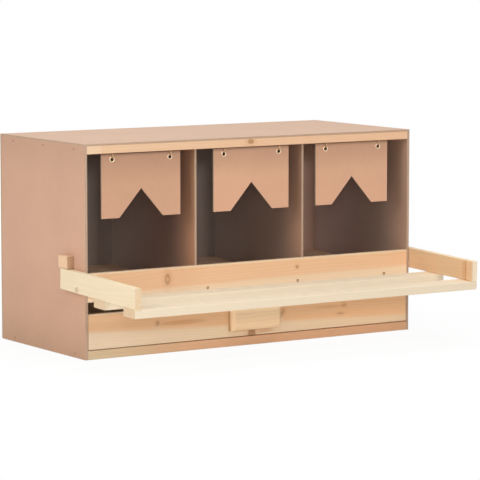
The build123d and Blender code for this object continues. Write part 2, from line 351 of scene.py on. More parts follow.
def pine(name, board):
    """Bare planed pine as a solid pattern, so that faces, edges and ends agree.

    Ring number = distance from the pith line / ring spacing, where the line runs along the grain, leans
    with it and is bent by slow noise, and each knot pushes the rings away by push / (1 + d * d / 4) ** 2,
    with d the distance from the knot in units of its size, roughened by noise.
    """
    look = bpy.context.scene.nest_pine
    wood = Finish(name)
    parts = wood.split(wood.place)
    axis = AXES[board.grain]
    along, across, height = parts[axis], parts[1 - axis], parts[2]

    def stretched(across_grain, along_grain, shift, detail, roughness):
        """Noise with its own number of grains per metre across the grain and along it."""
        scale = [along_grain if i == axis else across_grain for i in range(3)]
        return wood.noise(scale, shift, detail, roughness)

    bend = stretched(4.0, 2.2, (board.seed, 0.3, 0.0), 2.0, 0.5)
    sway = stretched(4.0, 2.2, (0.0, board.seed, 0.7), 2.0, 0.5)
    fine = stretched(900.0, 14.0, (0.0, 0.0, board.seed), 4.0, 0.6)
    streak = stretched(75.0, 1.8, (board.seed, 1.0, 0.0), 3.0, 0.55)
    blot = stretched(330.0, 210.0, (0.0, 0.4, board.seed), 3.0, 0.6)

    def apart(mark):
        """Squared distance from a mark in units of its size, roughened by the blots."""
        rise = height - mark.height
        far = (along - mark.along - rise * mark.tilt) / mark.half_length
        up = rise / mark.half_height
        return (far * far + up * up) * (blot + 0.5)

    # Rings, knots with their halos, stains, and painted shadows
    aside = across - board.pith[0] + (bend - 0.5) * board.wander
    above = height - board.pith[1] - along * board.lean + (sway - 0.5) * board.wander
    radius = (aside * aside + above * above).root()
    dark = halo = 0.0
    for knot in board.knots:
        gap = apart(knot)
        push = 1.6 * knot.half_height * (1.0 - knot.clear_middle)
        radius = radius + push / ((gap * 0.25 + 1.0) ** 2.0)
        core = wood.step(gap, 1.7, 0.3) - wood.step(gap, 0.5, 0.1) * knot.clear_middle
        dark = (core * (blot * 0.8 + 0.6) * knot.darkness).larger(dark)
        halo = (wood.step(gap, 8.0, 0.8) * (0.35 * knot.darkness)).larger(halo)
    for stain_or_shadow in board.stains_and_shadows:
        halo = (wood.step(apart(stain_or_shadow), 1.0, 0.0) * stain_or_shadow.darkness * (streak + 0.5)).larger(halo)
    late = (radius / look.ring_spacing + (streak - 0.5) * 1.2).fraction() ** 3.0

    # Pale and deep wood, then the dark lines and marks over them
    share = (streak - 0.5) * board.streak + 0.1
    if board.heart:
        share = share + wood.step(radius, board.heart + board.blend, board.heart - board.blend) * 0.8
    # Above the highlight top the wood is painted pale, as a highlight along a lit top edge
    if board.painted_highlight_top is not None:
        share = share - wood.step(height, board.painted_highlight_top - 1.5 * MM, board.painted_highlight_top + 1.5 * MM) * 0.8
    pale = tinted(getattr(look, board.pale), board.tint)
    deep = tinted(getattr(look, board.deep), board.tint, board.deep_tint)
    colour = wood.mix(wood.clamp(share), pale, deep)
    if board.tints:
        colour = wood.mix(1.0, colour, wood.bands(along, board.tints), "MULTIPLY")
    lines = late * (look.contrast * board.figure) + (fine - 0.5) * 0.2 + 0.03
    colour = wood.mix(wood.clamp(lines), colour, tuple(look.latewood))
    colour = wood.mix(halo, colour, tuple(look.latewood))
    colour = wood.mix(dark, colour, tuple(look.knot))

    # Sawn ends
    end = wood.step(abs(wood.split(wood.facing)[axis]), 0.45, 0.95)
    sawn = end * board.end
    if board.end_fade:
        sawn = sawn * wood.step(across, *board.end_fade)
    colour = wood.mix(sawn, colour, tinted(look.end_grain, board.end_tint))
    roughness = (fine - 0.5) * 0.14 + end * 0.15 + look.roughness
    return wood.surface(colour, roughness, late * 0.4 + fine, 0.06 * MM, specular=0.35)


def nest_depths(tints=(PLAIN, PLAIN, PLAIN)):
    """Painted shade and light on a face to the nests, as (depth, colour), from their mouths to their far
    ends: darker behind the mouths, paler again at the far ends.
    """
    look = bpy.context.scene.nest_hardboard
    depths = (6 * MM, 90 * MM, 300 * MM)
    colours = (look.mouth, look.inside, look.painted_far_light)
    return [(depth, tinted(colour, tint)) for depth, colour, tint in zip(depths, colours, tints)]


def hardboard(name, thickness_axis, inside=None, tint=PLAIN, shades=(), inner=(), inner_axis="Y"):
    """Pressed fibre sheet: clouded, finely flecked faces and darker sawn edges with streaks along the sheet.

    A face is where the normal follows the thickness axis. Nearer to the frame's zero plane of that axis than
    the inside distance, it takes the inner colours, which are (place along the inner axis, colour).
    Shades are painted light and shade by height, as (height, tint) of the outer face. Both are in rising
    order.
    """
    look = bpy.context.scene.nest_hardboard
    sheet = Finish(name)
    axis = AXES[thickness_axis]
    parts = sheet.split(sheet.place)
    flat = sheet.step(abs(sheet.split(sheet.facing)[axis]), 0.5, 0.8)
    fleck = sheet.noise(1.0 / look.fleck_size, detail=5.0, roughness=0.7)
    cloud = sheet.noise(9.0, (3.0, 1.0, 2.0), 4.0, 0.55)
    fibre = sheet.noise(120.0, (1.0, 5.0, 2.0), 4.0, 0.65)
    layers = sheet.noise([1400.0 if i == axis else 90.0 for i in range(3)], (0.0, 2.0, 0.0), 3.0, 0.6)
    colour = tinted(look.face, tint)
    # Painted light and shade by height on the outer face
    if shades:
        colour = sheet.mix(1.0, colour, sheet.bands(parts[2], shades), "MULTIPLY")
    if inside is not None:
        turned_in = sheet.step(abs(parts[axis]), inside + 0.2 * MM, inside - 0.2 * MM)
        colour = sheet.mix(turned_in, colour, sheet.bands(parts[AXES[inner_axis]], inner))
    shade = (fleck - 0.5) * 0.18 + (cloud - 0.5) * 0.2 + (fibre - 0.5) * 0.1 + 0.03
    colour = sheet.mix(sheet.clamp(shade), colour, tuple(c * 0.2 for c in look.face))
    sawn = sheet.clamp((layers - 0.5) * 1.2 + 0.25)
    edge = sheet.mix(sawn, tuple(look.edge), tuple(c * 0.65 for c in look.edge))
    colour = sheet.mix(flat, edge, colour)
    roughness = (fleck - 0.5) * 0.12 + (1.0 - flat) * 0.30 + look.roughness
    bump = fleck * 0.6 + layers * (1.0 - flat)
    return sheet.surface(colour, roughness, bump, 0.10 * MM, specular=0.25)


def metal(name, colour, metallic, roughness, slot=0.0):
    """Small metal piece: even colour with fine dull specks and patches, in which its gloss varies too.

    Nearer to the frame's zero plane of Y than the slot distance it is painted dark, as the shade in an
    upright slot.
    """
    steel = Finish(name)
    speck = steel.noise(1500.0, roughness=0.6)
    patch = steel.noise(260.0, (2.0, 0.0, 0.0), 2.0)
    dull = steel.clamp((speck - 0.5) * 0.5 + (patch - 0.5) * 0.6 + 0.25)
    shown = steel.mix(dull, tuple(colour), tuple(c * 0.62 for c in colour))
    if slot:
        # Painted shade in the upright slot
        slot_shade_colour = (0.03, 0.018, 0.011)
        painted_slot_shade = steel.step(abs(steel.split(steel.place)[1]), slot + 0.1 * MM, slot - 0.1 * MM)
        shown = steel.mix(painted_slot_shade, shown, slot_shade_colour)
    gloss = (speck - 0.5) * 0.2 + (patch - 0.5) * 0.2 + roughness
    return steel.surface(shown, gloss, speck, 0.02 * MM, metallic=metallic)


def dress(material, *names):
    """Gives CAD nodes a finish."""
    for name in names:
        for slot in NODES[name].material_slots:
            slot.material = material


def unit(vector):
    """A vector of length 1."""
    vector = np.asarray(vector, float)
    return vector / np.linalg.norm(vector)


def grid_faces(copies, rows, columns, wrap_rows):
    """Corner numbers of the quads of copies of a grid that closes round its columns, as one array."""
    copy, row, column = np.meshgrid(np.arange(copies), np.arange(rows if wrap_rows else rows - 1),
                                    np.arange(columns), indexing="ij")
    start, below, beside = copy * rows * columns, (row + 1) % rows, (column + 1) % columns
    corners = [(row, column), (row, beside), (below, beside), (below, column)]
    return np.stack([start + r * columns + c for r, c in corners], axis=-1).reshape(-1, 4)


def add_piece(name, points, material, body, slot, *nodes, wrap_rows=False):
    """One piece from an array of grids, copies x rows x columns x 3, that stands for the named nodes.

    Poles where a whole row is one point are merged, and sharp bends keep a crease.
    """
    merge_distance, crease = 1e-7, radians(38)
    faces = grid_faces(*points.shape[:3], wrap_rows)
    mesh = bpy.data.meshes.new(name)
    mesh.from_pydata(points.reshape(-1, 3).tolist(), [], faces.tolist())
    work = bmesh.new()
    work.from_mesh(mesh)
    bmesh.ops.remove_doubles(work, verts=work.verts, dist=merge_distance)
    bmesh.ops.recalc_face_normals(work, faces=work.faces)
    work.to_mesh(mesh)
    work.free()
    mesh.shade_smooth()
    mesh.set_sharp_from_angle(angle=crease)
    mesh.materials.append(material)
    piece = bpy.data.objects.new(name, mesh)
    bpy.context.scene.collection.objects.link(piece)
    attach(piece, body)
    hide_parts(*nodes)


def turned(profile, seats, outward, columns):
    """Pieces turned about an axis: point = seat + height * outward + radius * (cos t * u + sin t * v).

    The profile is rows of (height, radius), and u and v are square to the outward axis.
    """
    askew = (0.3, 0.5, 0.8)
    outward = unit(outward)
    side = unit(np.cross(outward, askew))
    other = np.cross(outward, side)
    turn = np.linspace(0.0, 2 * np.pi, columns, endpoint=False)
    ring = np.cos(turn)[:, None] * side + np.sin(turn)[:, None] * other
    heights, radii = np.asarray(profile, float).T
    shape = heights[:, None, None] * outward + radii[:, None, None] * ring[None]
    return np.asarray(seats, float)[:, None, None, :] + shape[None]


class Fastener(NamedTuple):
    """Sizes of a nail or screw, in metres; its dome runs from 0, a flat head, to 1."""

    head: float
    rise: float
    shank: float
    length: float
    dome: float = 1.0
    recess: float = 0.0


def fastener_profile(kind, rows=14):
    """Rows of (height, radius): height = rise * (1 - fall * dome * r^3) over the head, then the shank.

    Here r is the distance from the axis as a share of the head's radius. The shank ends in a point.
    """
    fall, straight = 0.55, 0.85 * kind.length
    share = np.linspace(0.0, 1.0, rows)
    top = np.stack([kind.rise * (1 - fall * kind.dome * share**3), kind.head * share], axis=1)
    rest = [(0.0, kind.head), (0.0, kind.shank), (-straight, kind.shank), (-kind.length, 0.0)]
    return np.vstack([top, rest])


def nails(kind, seats, outward):
    """Copies of one plain nail, all facing one way."""
    return turned(fastener_profile(kind, rows=8), seats, outward, columns=24)


def screws(kind, seats, outward, slotted=False):
    """Copies of one screw, all facing one way, with a cross or a slot from rim to rim sunk into its head.

    With u and v a point's distances from the head's two middle lines, as shares of its radius, a slot is
    where u is under its half width; a cross is where the smaller one is, and the larger one is under its
    half length. There the head is lowered by the recess.
    """
    points = turned(fastener_profile(kind), seats, outward, bpy.context.scene.nest_hardware.segments)
    upright, askew = (0.0, 0.0, 1.0), (0.1, 0.9, 0.4)
    outward = unit(outward)
    side = unit(np.cross(outward, upright if slotted else askew))
    other = np.cross(outward, side)
    local = points - np.asarray(seats, float)[:, None, None, :]
    u = np.abs(local @ side) / kind.head
    v = np.abs(local @ other) / kind.head
    if slotted:
        sunk = np.clip((SLOT_HALF_WIDTH - u) / SIDE_SLOPE, 0, 1)
    else:
        sunk = np.clip((CROSS_HALF_WIDTH - np.minimum(u, v)) / SIDE_SLOPE, 0, 1)
        sunk = sunk * np.clip((CROSS_HALF_LENGTH - np.maximum(u, v)) / END_SLOPE, 0, 1)
    on_top = (local @ outward) > 0
    return points - (sunk * on_top * kind.recess)[..., None] * outward


def hole_places(side):
    """x of a flap's two eyelets, the height of their middles and the radius of their flanges."""
    low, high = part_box(f"flap_{side}_eyelets")
    flange = (high.z - low.z) / 2
    return (low.x + flange, high.x - flange), (low.z + high.z) / 2, flange


class NESTBOX_OT_panels(bpy.types.Operator):
    """Finishes the hardboard shell, the dividers and the sheets that lie flat"""

    bl_idname = "nestbox.panels"
    bl_label = "Hardboard Panels"

    def execute(self, context):
        self.walls()
        self.back(context.scene.nest_hardboard.painted_far_light)
        low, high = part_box("top_panel")
        # The underside towards the nests takes the painted nest shade and light
        top = hardboard("hardboard_top", "Z", (low.z + high.z) / 2, (0.932, 1.045, 1.077),
                        inner=nest_depths())
        dress(top, "top_panel")
        dress(hardboard("hardboard_floor", "Z", tint=(1.15, 1.3, 1.35)), "base_panel", "drawer_bottom")
        # The nest floor is painted paler, as light on it
        dress(hardboard("hardboard_nest_floor", "Z", tint=(1.45, 1.7, 1.7)), "nest_floor")
        return {"FINISHED"}

    def walls(self):
        """Side panels and dividers: outer faces alike, inner faces in the painted light and shade of the nest
        at their left.
        """
        low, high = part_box("right_side_panel")
        # Painted shade on the outer faces: darker towards the foot and the top, lightest at mid-height
        shades = ((0.0, (0.90, 0.905, 0.87)), (0.08, (1.01, 1.0, 0.995)), (0.20, (1.05, 1.04, 1.05)),
                  (0.30, (1.03, 1.02, 1.02)), (high.z, (0.93, 0.92, 0.92)))
        outer = {"inside": (low.x + high.x) / 2, "tint": (0.955, 0.955, 0.918), "shades": shades}
        # Painted light and shade that differ from nest to nest, on top of the painted nest ramp
        left_nest = (1.15, 1.04, 0.93), (0.88, 0.80, 0.82), (1.12, 1.13, 1.13)
        middle_nest = PLAIN, PLAIN, (1.0, 0.98, 0.98)
        right_nest = (0.95, 1.01, 1.09), (1.08, 1.12, 1.16), (1.38, 1.33, 1.41)
        walls = (("hardboard_left", "left_side_panel", nest_depths()),
                 ("hardboard_first_divider", "divider_left", nest_depths(left_nest)),
                 ("hardboard_second_divider", "divider_right", nest_depths(middle_nest)),
                 ("hardboard_right", "right_side_panel", nest_depths(right_nest)))
        for name, node, inner in walls:
            dress(hardboard(name, "X", inner=inner, **outer), node)

    def back(self, painted_far_light):
        """Back panel, its face to the nests painted darker as shade in the left and middle nests, and lighter
        and browner as light in the right nest; the divider hides where that starts.
        """
        low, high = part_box("back_panel")
        divider_low, divider_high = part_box("divider_right")
        inner = ((divider_low.x, tinted(painted_far_light, (0.66, 0.63, 0.61))),
                 (divider_high.x, tinted(painted_far_light, (1.19, 0.93, 0.78))))
        sheet = hardboard("hardboard_back", "Y", (low.y + high.y) / 2, inner=inner, inner_axis="X")
        dress(sheet, "back_panel")


class NESTBOX_OT_flaps(bpy.types.Operator):
    """Finishes the three hanging flaps"""

    bl_idname = "nestbox.flaps"
    bl_label = "Flaps"

    def execute(self, context):
        low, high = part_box("flap_left")
        # Painted shade: the flaps darken towards their tops, with a darker band along the top edge, as the
        # top rail's shadow; each flap also gets its own painted brightness for the light at its place
        shades = ((low.z, (1.03, 1.03, 1.04)), (0.300, PLAIN), (high.z - 6 * MM, (0.80, 0.80, 0.80)),
                  (high.z, (0.55, 0.55, 0.55)))
        for side, painted_brightness in zip(SIDES, (0.985, 1.115, 1.12)):
            tint = tinted((0.95, 0.886, 0.80), (painted_brightness,) * 3)
            dress(hardboard(f"hardboard_flap_{side}", "Y", tint=tint, shades=shades), f"flap_{side}")
        return {"FINISHED"}


class NESTBOX_OT_frame_boards(bpy.types.Operator):
    """Finishes the rails, the lip, the battens and the stop blocks"""

    bl_idname = "nestbox.frame_boards"
    bl_label = "Frame Boards"

    def execute(self, context):
        cross_batten = Board(pith=(0.06, 0.2), seed=4.0)
        side_batten = Board(grain="Y", pith=(0.05, 0.1), seed=5.0)
        block = Board(grain="Y", pith=(0.33, 0.1), tint=(0.93, 0.88, 0.86), end=0.9,
                      end_tint=(0.67, 0.69, 0.92), seed=5.5)
        dress(pine("pine_lip", self.lip()), "lip_board")
        dress(pine("pine_top_rail", self.top_rail()), "top_front_rail")
        dress(pine("pine_bottom_rail", self.bottom_rail()), "bottom_front_rail")
        dress(pine("pine_cross_battens", cross_batten), "lip_batten", "floor_front_bearer",
              "floor_rear_batten", "top_rear_rail", "bottom_rear_rail")
        dress(pine("pine_side_battens", side_batten), "top_left_batten", "top_right_batten",
              "bottom_left_batten", "bottom_right_batten")
        dress(pine("pine_stop_blocks", block), "stop_block_left", "stop_block_right")
        return {"FINISHED"}

    def lip(self):
        """Heartwood over sapwood, with a ring-shaped knot, a small one under it and one to the right."""
        low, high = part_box("lip_board")
        return Board(
            # A pale band along the top edge is a painted highlight
            pith=(0.020, high.z + 0.0125), lean=0.0275, heart=0.054, painted_highlight_top=high.z - 2.5 * MM, seed=1.0,
            tint=(1.01, 1.055, 1.085), deep_tint=(1.03, 1.033, 1.041),
            tints=((low.x, (1.0, 1.04, 1.06)), (-0.31, (0.93, 0.93, 0.92)), (-0.17, (0.93, 0.91, 0.90)),
                   (-0.08, (1.0, 1.0, 0.99)), (high.x, (1.02, 1.02, 1.0))),
            knots=(Mark(-0.1818, 0.1324, 0.0052, 0.0095, 0.6, clear_middle=0.7),
                   Mark(-0.1818, 0.1245, 0.0022, 0.0025, 0.45),
                   Mark(0.096, 0.1366, 0.0032, 0.003, 0.5)))

    def top_rail(self):
        """Sapwood with one knot, paler at the left end as far as a joint in the wood."""
        low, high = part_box("top_front_rail")
        joint_start, joint_end = -0.3165, -0.3155
        end_tint = (0.99, 1.06, 1.12)
        return Board(
            pith=(0.030, low.z - 0.05), tint=(0.925, 0.855, 0.815), seed=2.0,
            tints=((low.x, end_tint), (joint_start, end_tint), (joint_end, (0.95, 0.96, 0.97)),
                   (high.x, (0.985, 0.94, 0.93))),
            knots=(Mark(-0.0049, 0.3713, 0.0065, 0.0045, 0.6),))

    def bottom_rail(self):
        """Heartwood, greyer towards the left end."""
        low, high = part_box("bottom_front_rail")
        return Board(
            pith=(0.03, high.z + 0.03), heart=0.2, seed=3.0,
            tints=((low.x, (0.72, 0.94, 1.03)), (-0.1, (0.86, 0.86, 0.88)), (high.x, (0.825, 0.79, 0.785))))


class NESTBOX_OT_perch(bpy.types.Operator):
    """Finishes the perch's arms and bars"""

    bl_idname = "nestbox.perch"
    bl_label = "Perch"

    def execute(self, context):
        left_arm = Board(grain="Y", pith=(-0.30, 0.16), tint=(0.946, 0.95, 0.88), figure=0.6, end=0.35,
                         seed=6.0, **PALE_WOOD)
        front_bar = Board(pith=(-0.19, 0.05), tint=(0.908, 0.923, 0.925), figure=0.4, streak=0.12, end=0.5,
                          seed=8.0, **PALE_WOOD)
        rear_bar = Board(pith=(-0.07, 0.05), tint=(0.93, 0.945, 0.94), figure=0.4, streak=0.12, end=0.45,
                         seed=9.0, **PALE_WOOD)
        dress(pine("pine_left_arm", left_arm), "perch_arm_left")
        dress(pine("pine_right_arm", self.right_arm()), "perch_arm_right")
        dress(pine("pine_front_bar", front_bar), "perch_front_bar")
        dress(pine("pine_rear_bar", rear_bar), "perch_rear_bar")
        return {"FINISHED"}

    def right_arm(self):
        """Cream wood with an orange layer on its inner face, painted as shade with warm reflected light, and
        a red line across it near the end.
        """
        inner_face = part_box("perch_arm_right")[0].x
        to_pith, layer = 0.5, 1.6 * MM
        # The orange layer on the inner face is painted shade with warm reflected light
        return Board(
            grain="Y", pith=(inner_face - to_pith, 0.13), wander=0.0, heart=to_pith + layer, blend=0.8 * MM,
            pale="cream", tint=(1.01, 1.04, 1.03), deep_tint=(0.9, 0.96, 0.96), end=0.04, seed=7.0,
            stains_and_shadows=(Mark(-0.1813, 0.13, 0.0016, 0.03, 1.2), Mark(-0.177, 0.13, 0.009, 0.03, 0.35)))


class NESTBOX_OT_drawer(bpy.types.Operator):
    """Finishes the drawer's boards and its handle"""

    bl_idname = "nestbox.drawer"
    bl_label = "Drawer"

    def execute(self, context):
        side = Board(grain="Y", pith=(0.2, 0.1), seed=12.0, **PALE_WOOD)
        rear = Board(pith=(0.35, 0.1), tint=(1.05, 1.12, 1.12), seed=13.0, **PALE_WOOD)
        dress(pine("pine_drawer_front", self.front()), "drawer_front")
        dress(pine("pine_handle", self.handle()), "drawer_handle")
        dress(pine("pine_drawer_sides", side), "drawer_left_side", "drawer_right_side")
        dress(pine("pine_drawer_back", rear), "drawer_back")
        return {"FINISHED"}

    def front(self):
        """Heartwood over sapwood, with knots at the left, right and middle, darker patches, a painted shadow
        line along the handle's foot and a painted highlight along the top edge.
        """
        low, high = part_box("drawer_front")
        handle_low, handle_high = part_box("drawer_handle")
        handle_middle = (handle_low.x + handle_high.x) / 2
        return Board(
            pith=(0.015, high.z + 0.0066), lean=-0.031, wander=9 * MM, heart=0.052, blend=5 * MM,
            # A pale band along the top edge is a painted highlight
            painted_highlight_top=high.z - 1.5 * MM, pale="cream", tint=(0.84, 0.80, 0.755), deep_tint=(1.06, 1.15, 1.19),
            tints=((low.x, (1.0, 1.0, 1.01)), (0.0, (1.07, 1.05, 1.01)), (high.x, (1.12, 1.06, 0.99))),
            knots=(Mark(-0.2029, 0.0544, 0.0038, 0.0045, 0.44),
                   Mark(-0.2045, 0.0511, 0.0020, 0.0020, 0.38),
                   Mark(0.0640, 0.0532, 0.0036, 0.0080, 0.37, tilt=0.43),
                   Mark(0.2017, 0.0577, 0.0055, 0.0035, 0.3),
                   Mark(0.1938, 0.0428, 0.0075, 0.0019, 0.35),
                   Mark(-0.0030, 0.0215, 0.0080, 0.0095, 0.72)),
            stains_and_shadows=(Mark(-0.150, 0.0525, 0.062, 0.006, 0.5),
                    Mark(0.172, 0.0567, 0.045, 0.004, 0.27),
                    Mark(0.0247, 0.0238, 0.025, 0.0045, 0.5),
                    # Painted shadow line just under the handle
                    Mark(handle_middle, handle_low.z - 1.2 * MM, 0.058, 2.2 * MM, 0.8)),
            seed=10.0)

    def handle(self):
        """Sapwood with dark end grain that is darkest at the root, as painted shadow where the handle meets
        the drawer front, and grows paler towards the rounded front.
        """
        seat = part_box("drawer_front")[0].y
        # The ends darken towards the root as painted shadow of the join
        return Board(pith=(0.03, 0.0), tint=(1.04, 1.065, 1.025), end=0.68, end_tint=(0.5, 0.44, 0.45),
                     end_fade=(seat - 9 * MM, seat - 3 * MM), seed=11.0)


class NESTBOX_OT_eyelets(bpy.types.Operator):
    """Makes the rolled eyelets in the flaps"""

    bl_idname = "nestbox.eyelets"
    bl_label = "Eyelets"

    def execute(self, context):
        look = context.scene.nest_hardware
        plate = metal("plated_eyelets", look.plated, 1.0, 0.34)
        for side in SIDES:
            low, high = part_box(f"flap_{side}_eyelets")
            places, height, flange = hole_places(side)
            profile = self.rolled(look, flange, (high.y - low.y) / 2 - look.eyelet_roll)
            points = turned(profile, [(x, 0.0, height) for x in places], (0, 1, 0), look.segments)
            add_piece(f"eyelets_{side}", points, plate, f"flap_{side}", "plated_steel",
                      f"flap_{side}_eyelets", wrap_rows=True)
        return {"FINISHED"}

    def rolled(self, look, flange, half):
        """Closed rows of (height, radius): a roll on each face of the sheet, joined by barrel and bore.

        A roll is (half + rise * sin t, middle -+ width * cos t), from the bore to the flange's rim, where
        half is half the sheet's thickness; the front one has its heights negative.
        """
        bore, rise = look.eyelet_bore, look.eyelet_roll
        turn = np.linspace(0.0, np.pi, 11)
        middle, width = (bore + flange) / 2, (flange - bore) / 2
        front = np.stack([-half - rise * np.sin(turn), middle - width * np.cos(turn)], axis=1)
        barrel = [(-half, bore + look.eyelet_wall), (half, bore + look.eyelet_wall)]
        rear = np.stack([half + rise * np.sin(turn), middle + width * np.cos(turn)], axis=1)
        return np.vstack([front, barrel, rear])


class NESTBOX_OT_screw_eyes(bpy.types.Operator):
    """Bends the screw eyes that the flaps hang from"""

    bl_idname = "nestbox.screw_eyes"
    bl_label = "Screw Eyes"

    def execute(self, context):
        look = context.scene.nest_hardware
        low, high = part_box("screw_eyes")
        axis_z = JOINTS["flap_left_swing"]["pos_m"][2]
        ring = (high.y - low.y) / 2 - look.wire
        places = [x for side in SIDES for x in hole_places(side)[0]]
        points = self.bent_wire(ring, look, axis_z, high.z)
        copies = np.repeat(points[None], len(places), axis=0)
        copies[..., 0] += np.asarray(places)[:, None, None]
        plate = metal("brass_eyes", look.brass, 1.0, 0.40)
        add_piece("hanging_eyes", copies, plate, "carcass", "plated_steel", "screw_eyes")
        return {"FINISHED"}

    def bent_wire(self, ring, look, axis_z, top):
        """A wire in the YZ plane: a straight shank down to a ring that stops short of it by the gap.

        Centre line: (0, z) down to the ring's top, then ring * (sin t, cos t) round the axis. The wire is
        centre + radius * (cos a * normal + sin a * x), and its radius shrinks to a point at both ends.
        """
        shank_rows, ring_rows, columns = 20, 56, 20
        point_rows, tip = 6, (0.95, 0.7, 0.0)
        turn = np.linspace(0.0, 2 * np.pi - look.eye_gap, ring_rows)
        shank = np.stack([np.zeros(shank_rows), np.linspace(top, axis_z + ring, shank_rows)], axis=1)
        hoop = np.stack([ring * np.sin(turn), axis_z + ring * np.cos(turn)], axis=1)
        line = np.vstack([shank, hoop[1:]])
        tangent = np.gradient(line, axis=0)
        tangent /= np.linalg.norm(tangent, axis=1)[:, None]
        normal = np.stack([-tangent[:, 1], tangent[:, 0]], axis=1)
        radius = np.full(len(line), look.wire)
        radius[:point_rows] *= np.linspace(0.0, 1.0, point_rows) ** 0.5
        radius[-len(tip):] *= tip
        around = np.linspace(0.0, 2 * np.pi, columns, endpoint=False)
        out = np.cos(around)[None, :, None] * normal[:, None, :] * radius[:, None, None]
        sideways = np.sin(around)[None, :] * radius[:, None]
        upright = line[:, None, :] + out
        return np.stack([sideways, upright[..., 0], upright[..., 1]], axis=-1)


class NESTBOX_OT_pivots(bpy.types.Operator):
    """Makes the domed pivot screws and their washers"""

    bl_idname = "nestbox.pivots"
    bl_label = "Perch Pivots"

    def execute(self, context):
        look = context.scene.nest_hardware
        height = JOINTS["perch_fold"]["pos_m"][2]
        self.slotted_screws(look, height)
        self.washers(look, height)
        return {"FINISHED"}

    def slotted_screws(self, look, height):
        """One screw at each side, with an upright slot; its point lies in the lip board's end."""
        low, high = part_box("pivot_screws")
        head, rise, shank, grip = (high.z - low.z) / 2, 2.2 * MM, 2.5 * MM, 21 * MM
        seat = high.x - rise
        length = seat - (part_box("lip_board")[1].x - grip)
        kind = Fastener(head, rise, shank, length, recess=look.recess_depth)
        pair = np.concatenate([screws(kind, [(sign * seat, 0.0, height)], (sign, 0, 0), slotted=True)
                               for sign in (-1, 1)])
        # The slot's band of this finish is painted dark, as shade in the slot
        plate = metal("plated_pivots", look.pivot, 0.5, 0.5, slot=SLOT_HALF_WIDTH * head)
        add_piece("perch_pivot_screws", pair, plate, "carcass", "plated_steel", "pivot_screws")

    def washers(self, look, height):
        """Rings with eased rims, between the side panels and the perch's arms."""
        low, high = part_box("pivot_washers")
        bore, rim, ease = 2.6 * MM, (high.z - low.z) / 2, 0.25 * MM
        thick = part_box("perch_arm_right")[0].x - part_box("right_side_panel")[1].x
        profile = [(0.0, bore), (0.0, rim - ease), (ease, rim), (thick - ease, rim), (thick, rim - ease),
                   (thick, bore)]
        seat = high.x - thick
        pair = np.concatenate([turned(profile, [(sign * seat, 0.0, height)], (sign, 0, 0), look.segments)
                               for sign in (-1, 1)])
        plate = metal("plated_washers", look.plated, 1.0, 0.4)
        add_piece("perch_washers", pair, plate, "carcass", "plated_steel", "pivot_washers", wrap_rows=True)


